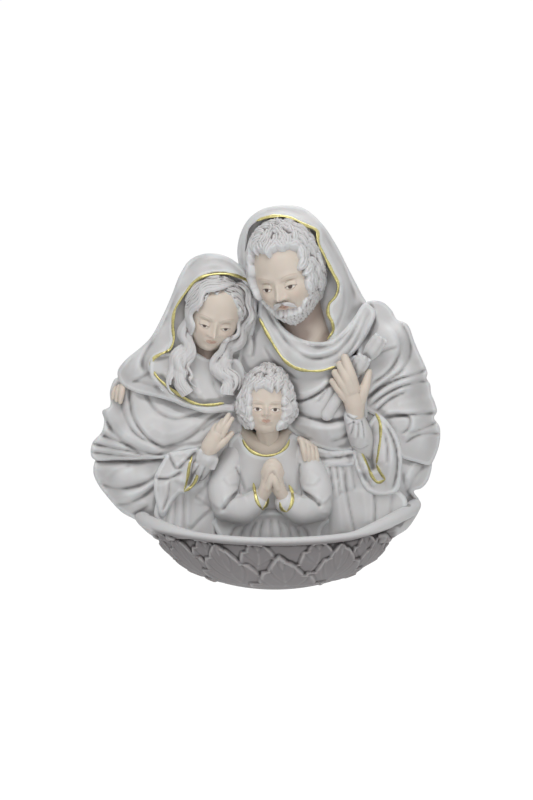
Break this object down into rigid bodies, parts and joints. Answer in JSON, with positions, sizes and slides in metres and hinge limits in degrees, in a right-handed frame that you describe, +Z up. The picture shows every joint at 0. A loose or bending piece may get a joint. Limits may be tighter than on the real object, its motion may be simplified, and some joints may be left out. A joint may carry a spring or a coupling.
{
  "type": "holy water stoup",
  "caption": "Wall-hung relief of robed half-figures above a half-round water bowl with a rolled lip; a hinged ring on the back takes a nail.",
  "frame": {"origin": "on the back face that lies against the wall, in the middle of the relief's width and about halfway up", "axes": "+Z up, +Y out of the back into the wall, so the front faces -Y; +X to the right as seen from the front"},
  "size_m": [0.1738, 0.0677, 0.1968],
  "materials": {
    "cast_resin": "matt white resin filled with marble powder, with a grey wash in the recesses and gilt hems",
    "tinted_resin": "the same resin, hand tinted for faces and hands",
    "zinc_plated_steel": "bright zinc plate"
  },
  "bodies": {
    "stoup": {"child_hands": "tinted_resin", "mother_far_fingers": "tinted_resin", "child_head": "tinted_resin", "child_hair": "cast_resin", "child_sleeve_left": "cast_resin", "child_sleeve_right": "cast_resin", "child_tunic": "cast_resin", "mother_hand": "tinted_resin", "father_lily": "cast_resin", "father_hand": "tinted_resin", "father_cuff": "cast_resin", "father_sleeve": "cast_resin", "mother_head": "tinted_resin", "mother_hair": "cast_resin", "mother_veil": "cast_resin", "father_head": "tinted_resin", "father_beard": "cast_resin", "father_hair": "cast_resin", "father_cowl": "cast_resin", "father_hood": "cast_resin", "father_far_fingers": "tinted_resin", "mother_bodice": "cast_resin", "mother_cuff": "cast_resin", "mother_sleeve": "cast_resin", "mother_mantle": "cast_resin", "mother_mantle_fall": "cast_resin", "mother_skirt": "cast_resin", "father_belt": "cast_resin", "father_chest": "cast_resin", "father_mantle_fall": "cast_resin", "father_mantle": "cast_resin", "father_skirt": "cast_resin", "bowl": "cast_resin", "back_slab": "cast_resin", "hanger_strap": "zinc_plated_steel", "hanger_screw_1": "zinc_plated_steel", "hanger_screw_2": "zinc_plated_steel"},
    "hanging_ring": {"hanging_ring": "zinc_plated_steel"}
  },
  "joints": [
    {"name": "ring_hinge", "type": "hinge", "parent": "stoup", "child": "hanging_ring", "pos_m": [0, -0.00245, 0.04], "axis": [-1, 0, 0], "range_deg": [0, 165]}
  ]
}
